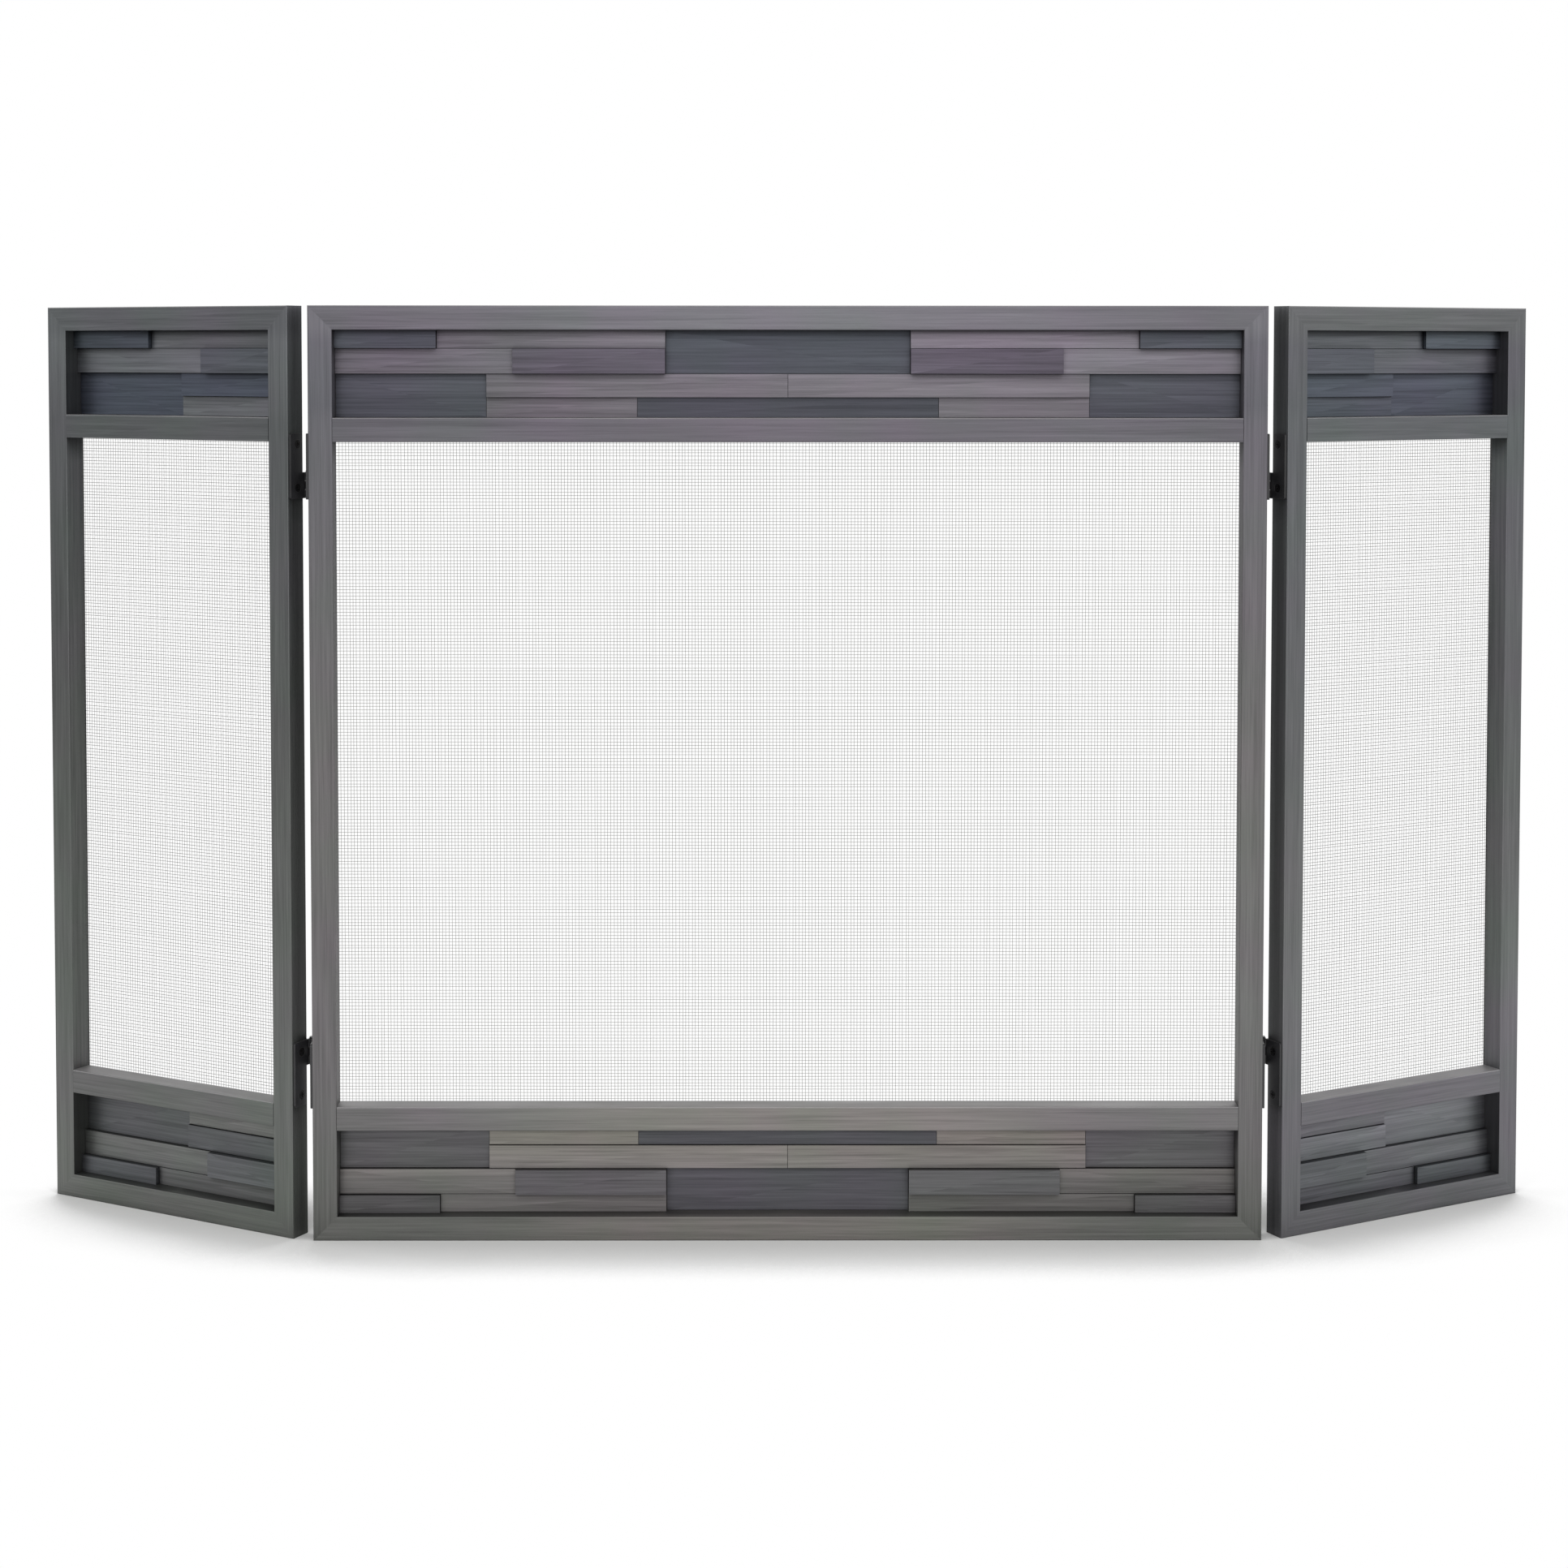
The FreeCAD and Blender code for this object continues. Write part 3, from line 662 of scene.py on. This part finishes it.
# How the lacquer drifts from mauve to olive, in red, green and blue.
PATINA = (0.22, -0.05, 0.2)
BARE_STEEL = linear(96, 95, 94)
EDGE_HIGHLIGHT = linear(188, 186, 187)
FRAME_SHADE = {"shade_strength": 0.66, "corner": 0.022, "closed": 0.3, "dust_and_highlight": True}
WING_SHADE = {**FRAME_SHADE, "walls": 1.0}
BAR_GRAIN = {"fine": 1.05, "bands": 0.85, "cloud": 0.28, "spread": 0.04}
PALETTES = {
    "centre": Palette(
        Brushed("brushed_pewter", (
            (0.02, linear(100, 101, 98)), (0.1, linear(109, 108, 108)),
            (0.2, linear(114, 113, 113)), (0.4, linear(113, 112, 111)),
            (0.6, linear(105, 104, 107)), (0.68, linear(103, 101, 107)),
            (0.693, linear(98, 96, 103)), (0.745, linear(101, 99, 106)),
            (0.758, linear(110, 108, 114)),
        # Painted light: across the middle the lower rails are lighter and the upper rail darker.
        ), middle=(
            (0.02, linear(111, 109, 105)), (0.1, linear(120, 117, 114)),
            (0.4, linear(113, 112, 111)), (0.6, linear(105, 104, 107)),
            (0.67, linear(98, 94, 101)), (0.765, linear(111, 109, 115)),
        ), **FRAME_SHADE),
        Brushed("light_bar", (
            (0.028, linear(99, 97, 96)), (0.046, linear(101, 99, 98)),
            (0.066, linear(123, 119, 116)), (0.084, linear(121, 117, 112)),
            (0.691, linear(108, 104, 110)), (0.709, linear(109, 105, 111)),
            (0.729, linear(113, 109, 117)), (0.747, linear(118, 113, 121)),
        ), slant=1.05, **BAR_GRAIN),
        Brushed("dark_bar", (
            (0.028, linear(86, 85, 86)), (0.08, linear(91, 90, 92)),
            (0.691, linear(80, 81, 89)), (0.709, linear(84, 85, 93)), (0.747, linear(83, 85, 93)),
        ),
            middle=((0.1, linear(79, 79, 83)), (0.691, linear(72, 73, 80)),
                    (0.747, linear(76, 78, 86))),
            raised=((0.1, linear(93, 92, 94)), (0.7, linear(88, 83, 93))), **BAR_GRAIN),
    ),
    "left": Palette(
        Brushed("brushed_pewter", (
            (0.02, linear(107, 109, 106)), (0.1, linear(108, 110, 108)),
            (0.4, linear(108, 110, 108)), (0.68, linear(104, 106, 108)),
            (0.69, linear(107, 109, 111)), (0.745, linear(114, 116, 119)),
            (0.757, linear(107, 109, 112)),
        ), **WING_SHADE),
        Brushed("light_bar", (
            (0.028, linear(102, 103, 103)), (0.046, linear(111, 113, 111)),
            (0.08, linear(116, 117, 115)), (0.691, linear(121, 123, 127)),
            (0.729, linear(118, 120, 125)), (0.747, linear(113, 114, 118)),
        ), **BAR_GRAIN),
        Brushed("dark_bar", (
            (0.028, linear(92, 94, 97)), (0.08, linear(95, 97, 98)),
            (0.7, linear(90, 95, 108)), (0.747, linear(86, 91, 100)),
        ), raised=((0.1, linear(102, 104, 106)), (0.7, linear(98, 101, 108))), **BAR_GRAIN),
    ),
    "right": Palette(
        Brushed("brushed_pewter", (
            (0.02, linear(107, 107, 110)), (0.1, linear(112, 111, 115)),
            (0.2, linear(116, 117, 118)), (0.3, linear(112, 114, 113)),
            (0.68, linear(106, 108, 111)), (0.693, linear(103, 104, 108)),
            (0.74, linear(105, 106, 110)), (0.758, linear(111, 112, 114)),
        ), **WING_SHADE),
        Brushed("light_bar", (
            (0.028, linear(97, 97, 102)), (0.046, linear(108, 108, 112)),
            (0.08, linear(114, 114, 118)), (0.691, linear(95, 99, 109)),
            (0.709, linear(100, 102, 110)), (0.729, linear(105, 106, 112)),
            (0.747, linear(106, 108, 113)),
        ), **BAR_GRAIN),
        Brushed("dark_bar", (
            (0.028, linear(87, 89, 93)), (0.08, linear(124, 125, 129)),
            (0.7, linear(90, 94, 105)), (0.729, linear(90, 96, 105)),
            (0.747, linear(93, 99, 106)),
        ), raised=((0.1, linear(101, 102, 106)), (0.7, linear(97, 98, 107))), **BAR_GRAIN),
    ),
}
PLATE_PAINT = Paint("charcoal_plate", linear(38, 38, 40), linear(52, 52, 53), 0.6)
STRIP_PAINT = Paint("charcoal_strip", linear(42, 42, 44), linear(58, 58, 59), 0.55)
WIRE_PAINT = Paint("grey_wire", linear(106, 106, 98), linear(122, 122, 113), 0.5, grain=2500.0)
# A darker copy of the centre's wire: painted shade for the turned wings.
SHADED_WING_WIRE_PAINT = Paint("shaded_wing_wire", linear(67, 67, 62), linear(83, 83, 77), 0.6, grain=2500.0)
HINGE_PAINT = Paint("satin_black", linear(38, 38, 40), linear(48, 48, 50), 0.4, rubbed=0.0006)
PIN_FINISH = Paint(
    "black_pin", linear(28, 28, 31), linear(44, 44, 46), 0.35, metallic=0.5, rubbed=0.0004
)
SCREW_FINISH = Paint(
    "black_oxide", linear(30, 30, 32), linear(54, 53, 52), 0.4, metallic=0.6, rubbed=0.0004
)


@cache
def painted(finish: Paint) -> bpy.types.Material:
    """Builds a painted finish once."""
    return finish.material()


@cache
def brushed(finish: Brushed, panel: Panel, grain: Grain) -> bpy.types.Material:
    """Builds a brushed finish once for a panel and a grain."""
    return finish.material(panel, grain)


def dress(node: str, material: bpy.types.Material) -> None:
    """Gives a packed member its finish.

    Args:
        node: the member's name.
        material: its finish.
    """
    member = frame["nodes"][node]
    for place in member.material_slots:
        place.material = material
    log.info("%s dressed in %s", node, material.name)


@dataclass
class PanelFrame:
    """The square tubes of one panel."""

    panel: Panel

    def build(self) -> None:
        """Dresses the two stiles and the four rails."""
        name, finish = self.panel.name, self.panel.palette.frame
        sides = ("left", "right") if self.panel is CENTRE else ("inner", "outer")
        for side in sides:
            dress(f"{name}_{side}_stile", brushed(finish, self.panel, Grain.UPRIGHT))
        for rail in ("top", "upper", "lower", "bottom"):
            dress(f"{name}_{rail}_rail", brushed(finish, self.panel, Grain.LEVEL))


@dataclass
class Relief:
    """The bars and the backing plate in one opening of a panel."""

    panel: Panel
    level: str

    def build(self) -> None:
        """Dresses the plate and both kinds of bar."""
        start, palette = f"{self.panel.name}_{self.level}", self.panel.palette
        dress(f"{start}_plate", painted(PLATE_PAINT))
        dress(f"{start}_light_blocks", brushed(palette.light, self.panel, Grain.LEVEL))
        dress(f"{start}_dark_blocks", brushed(palette.dark, self.panel, Grain.LEVEL))


class Weave(Enum):
    """The two sets of wires."""

    WARP = "upright"
    WEFT = "level"


@dataclass
class WovenMesh:
    """The sheet of plain-woven wire behind one panel, and the strips that hold it."""

    panel: Panel
    pieces: int = 1
    pitch: float = 0.0027
    wire: float = 0.00028
    wander: float = 0.00013
    waves: Span = (0.03, 0.12)
    uneven: float = 0.8
    most: float = 0.4
    seed: int = 7
    _shift: np.random.Generator = field(init=False, repr=False)

    def __post_init__(self) -> None:
        """Finds the sheet's middle and size, and starts the random draws."""
        self._shift = np.random.default_rng(self.seed)
        low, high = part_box(self.node)
        size, turn = high - low, abs(self.panel.turn)
        self.middle = (low + high) / 2
        self.width = (size.x * math.cos(turn) - size.y * math.sin(turn)) / math.cos(2 * turn)
        self.height = size.z

    @property
    def node(self) -> str:
        """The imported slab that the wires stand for."""
        return f"{self.panel.name}_mesh"

    def _places(self, length: float) -> np.ndarray:
        """Where wires cross a length, evenly about its middle."""
        count = int((length - 2 * self.wire) / self.pitch) + 1
        return (np.arange(count) - (count - 1) / 2) * self.pitch

    def _paths(self, weave: Weave) -> np.ndarray:
        """Lines of the wires of one set, in the sheet's own frame.

        Args:
            weave: the set.

        Returns:
            Wires by points by (level, outwards, up), in metres.
        """
        upright = weave is Weave.WARP
        own = self._places(self.width if upright else self.height)
        other = self._places(self.height if upright else self.width)
        end = (self.height if upright else self.width) / 2
        run = np.concatenate(([-end], other, [end]))
        wires, points = np.meshgrid(np.arange(len(own)), np.arange(len(run)), indexing="ij")
        over = np.where((wires + points) % 2 == 0, 1.0, -1.0) * (1 if upright else -1)
        each, most = (len(own), 1), self.most * self.pitch
        wave = self._shift.uniform(*self.waves, each)
        phase = self._shift.uniform(0, math.tau, each)
        offset = self._shift.normal(0, self.uneven, each)
        stray = self.wander * (np.sin(run[None, :] / wave + phase) + offset)
        across = own[:, None] + np.clip(stray, -most, most)
        outwards = over * self.wire / 2
        outwards[:, [0, -1]] = 0
        line = np.broadcast_to(run[None, :], across.shape)
        parts = (across, outwards, line) if upright else (line, outwards, across)
        return np.stack(parts, axis=-1)

    def _mesh(self, name: str, paths: np.ndarray, weave: Weave) -> bpy.types.Mesh:
        """Skins wires with a round section.

        Args:
            name: the mesh's name.
            paths: lines of the wires.
            weave: the set that they belong to.

        Returns:
            The mesh, in the frame's coordinates.
        """
        wires, points, _ = paths.shape
        radius = self.wire / 2
        side = (1, 0, 0) if weave is Weave.WARP else (0, 0, 1)
        ring = radius * np.array([side, (0, 1, 0), np.negative(side), (0, -1, 0)], float)
        local = paths[:, :, None, :] + ring
        along, facing = np.array(self.panel.along), np.array(self.panel.facing)
        axes = np.stack((along, facing, (0, 0, 1)))
        verts = (local @ axes + np.array(self.middle)).reshape(-1, 3)
        start = np.arange(wires * points).reshape(wires, points)[:, :-1, None] * 4
        turn = np.arange(4)
        near, after = start + turn, start + (turn + 1) % 4
        walls = np.stack((near, after, after + 4, near + 4), axis=-1).reshape(-1, 4)
        first = np.arange(wires)[:, None] * points * 4 + turn
        last = first + (points - 1) * 4
        faces = np.concatenate((walls, first[:, ::-1], last))
        mesh = bpy.data.meshes.new(name)
        mesh.from_pydata(verts.tolist(), [], faces.tolist())
        mesh.update()
        return mesh

    def build(self) -> None:
        """Weaves the sheet and dresses its strips."""
        for weave in Weave:
            paths = self._paths(weave)
            for number, share in enumerate(np.array_split(paths, self.pieces), start=1):
                name = f"{self.panel.name}_{weave.value}_wires_{number}"
                wires = bpy.data.objects.new(name, self._mesh(name, share, weave))
                bpy.context.scene.collection.objects.link(wires)
                wires.data.shade_smooth()
                paint = WIRE_PAINT if self.panel is CENTRE else SHADED_WING_WIRE_PAINT
                wires.data.materials.append(painted(paint))
                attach(wires, self.panel.body)
                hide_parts(self.node)
                log.info("%s: %d wires of %d points", name, len(share), share.shape[1])
        dress(f"{self.node}_strips", painted(STRIP_PAINT))


@dataclass
class Hinges:
    """The two butt hinges between the middle panel and one wing."""

    wing: Panel

    def build(self) -> None:
        """Dresses leaves, pins and the screws in the wing."""
        for level in ("upper", "lower"):
            start = f"{self.wing.name}_{level}_hinge"
            for leaf in ("centre_leaf", "side_leaf"):
                dress(f"{start}_{leaf}", painted(HINGE_PAINT))
            dress(f"{start}_pin", painted(PIN_FINISH))
        dress(f"{self.wing.name}_hinge_screws", painted(SCREW_FINISH))


@dataclass(frozen=True)
class Lamp:
    """A soft box."""

    name: str
    place: Place
    aim: Place
    size: Span
    power: float

    def build(self) -> None:
        """Hangs the lamp and turns it to what it lights."""
        data = bpy.data.lights.new(self.name, "AREA")
        data.shape = "RECTANGLE"
        data.size, data.size_y = self.size
        data.energy = self.power
        lamp = bpy.data.objects.new(self.name, data)
        lamp.location = self.place
        aim = Vector(self.aim) - lamp.location
        lamp.rotation_euler = aim.to_track_quat("-Z", "Y").to_euler()
        lamp.visible_camera = False
        bpy.context.scene.collection.objects.link(lamp)
        log.info("%s: %.0f W", self.name, self.power)


@dataclass
class Studio:
    """Camera, lamps, floor and the white room round the screen.

    The room's light is given by direction: each Span is where a change starts and ends, as the
    cosine of the angle from straight ahead, right or up.
    """

    lens: float = 63.24
    shift: float = -0.2
    stand: Place = (-0.0099, -2.3301, 0.7369)
    tilt: Place = (math.pi / 2 - 0.0429, -0.0005, -0.0029)
    side_wall: float = 0.75
    front_wall: Span = (-0.6, 0.8)
    horizon: Span = (-0.02, 0.08)
    below: float = 0.16
    above: float = 1.6
    ceiling: float = 0.95
    ceiling_edge: Span = (0.25, 0.42)
    lean: float = 0.04
    right_glow: float = 0.65
    right_edge: Span = (0.1, 0.8)
    right_front: Span = (-0.1, 0.3)
    left_glow: float = 0.5
    left_way: Place = (-0.92, 0.39, 0)
    left_edge: Span = (0.8, 0.97)
    mirrored_back: Span = (0.8, 0.95)
    floor_radius: float = 2.0
    floor_sides: int = 96
    floor_fade: Span = (1.0, 1.9)
    floor_tones: tuple[Colour, Colour] = ((0.79, 0.79, 0.785), (0.81, 0.81, 0.8))
    floor_grain: Pattern = Pattern(60, 3)
    shadow_reach: float = 0.16
    shadow_edge: Span = (0.71, 0.838)
    shadow_ends: Span = (0.42, 0.64)
    end_fade: float = 0.035
    lamps: tuple[Lamp, ...] = (
        Lamp("front_box", (0.04, -2.9, 0.85), (0.0, 0.0, 0.4), (0.8, 1.3), 14.0),
    )

    def _camera(self) -> None:
        """Sets up the camera."""
        data = bpy.data.cameras.new("camera")
        data.lens = self.lens
        data.shift_y = self.shift
        data.dof.use_dof = False
        camera = bpy.data.objects.new("camera", data)
        camera.location = self.stand
        camera.rotation_euler = Euler(self.tilt)
        bpy.context.scene.collection.objects.link(camera)
        bpy.context.scene.camera = camera

    def _world(self) -> None:
        """Makes a room that is bright in front and above, dimmer at the sides, and seen white."""
        world = bpy.data.worlds.new("room")
        world.use_nodes = True
        n = Nodes(world.node_tree)
        toward = n.add("ShaderNodeTexCoord", output="Generated")
        front, right, up = (toward.dot(way) for way in (FORWARD, RIGHTWARD, UP))
        walls = self.side_wall + front.ramp(*self.front_wall) * (1 - self.side_wall)
        glow = right.ramp(*self.right_edge) * front.ramp(*self.right_front) * self.right_glow
        left = toward.dot(Vector(self.left_way)).ramp(*self.left_edge)
        low = self.below + glow + left * self.left_glow
        high = self.above - up.ramp(*self.ceiling_edge) * (self.above - self.ceiling)
        light = low + up.ramp(*self.horizon) * (high - low)
        light = walls * (right * self.lean + 1) * light
        straight, mirrored = n.rays()
        seen = straight.largest(mirrored * (0 - front).ramp(*self.mirrored_back))
        inputs = {"Color": WHITE, "Strength": light + seen * (1 - light)}
        n.finish_with(n.add("ShaderNodeBackground", inputs=inputs))
        bpy.context.scene.world = world

    def _floor(self) -> None:
        """Lays a white floor that keeps the screen's shadow, partly painted, and melts into the
        room.
        """
        turns = np.linspace(0, math.tau, self.floor_sides, endpoint=False)
        rim = self.floor_radius * np.stack((np.cos(turns), np.sin(turns), 0 * turns), axis=1)
        mesh = bpy.data.meshes.new("floor")
        mesh.from_pydata(rim.tolist(), [], [tuple(range(len(rim)))])
        floor = bpy.data.objects.new("floor", mesh)
        bpy.context.scene.collection.objects.link(floor)
        material, n = new_material("white_floor")
        straight, mirrored = n.rays()
        place = n.place()
        far = n.add("ShaderNodeVectorMath", {"operation": "LENGTH"}, {0: place}, "Value")
        # Painted shadow: the white glow is held back where the ambient-occlusion mask finds the
        # screen near, less towards the outer ends, so the matt floor and its real shadow show
        # there.
        ends = place.dot(RIGHTWARD).size().ramp(*self.shadow_ends) * self.end_fade
        share = (n.openness(self.shadow_reach) + ends).ramp(*self.shadow_edge)
        share = straight.largest(mirrored) * share.largest(far.ramp(*self.floor_fade))
        tone = n.mix(n.noise(place, self.floor_grain) + 0.5, *self.floor_tones)
        matt = n.add("ShaderNodeBsdfDiffuse", inputs={"Color": tone})
        glow = n.add("ShaderNodeEmission", inputs={"Color": WHITE, "Strength": 1.0})
        n.finish_with(n.add("ShaderNodeMixShader", inputs={0: share, 1: matt, 2: glow}))
        mesh.materials.append(material)

    def build(self) -> None:
        """Sets up the whole studio."""
        self._camera()
        self._world()
        self._floor()
        for lamp in self.lamps:
            lamp.build()
        bpy.context.scene.view_settings.view_transform = "Standard"


def main() -> None:
    """Builds the screen, piece by piece, and the studio round it."""
    logging.basicConfig(level=logging.INFO, format="%(message)s")
    Studio().build()
    for panel in PANELS:
        PanelFrame(panel).build()
        Relief(panel, "top").build()
        Relief(panel, "base").build()
        if panel is CENTRE:
            WovenMesh(panel, pieces=3).build()
        else:
            WovenMesh(panel, wire=0.00031).build()
    for wing in (LEFT, RIGHT):
        Hinges(wing).build()
    dress("centre_hinge_screws", painted(SCREW_FINISH))


if __name__ == "__main__":
    main()
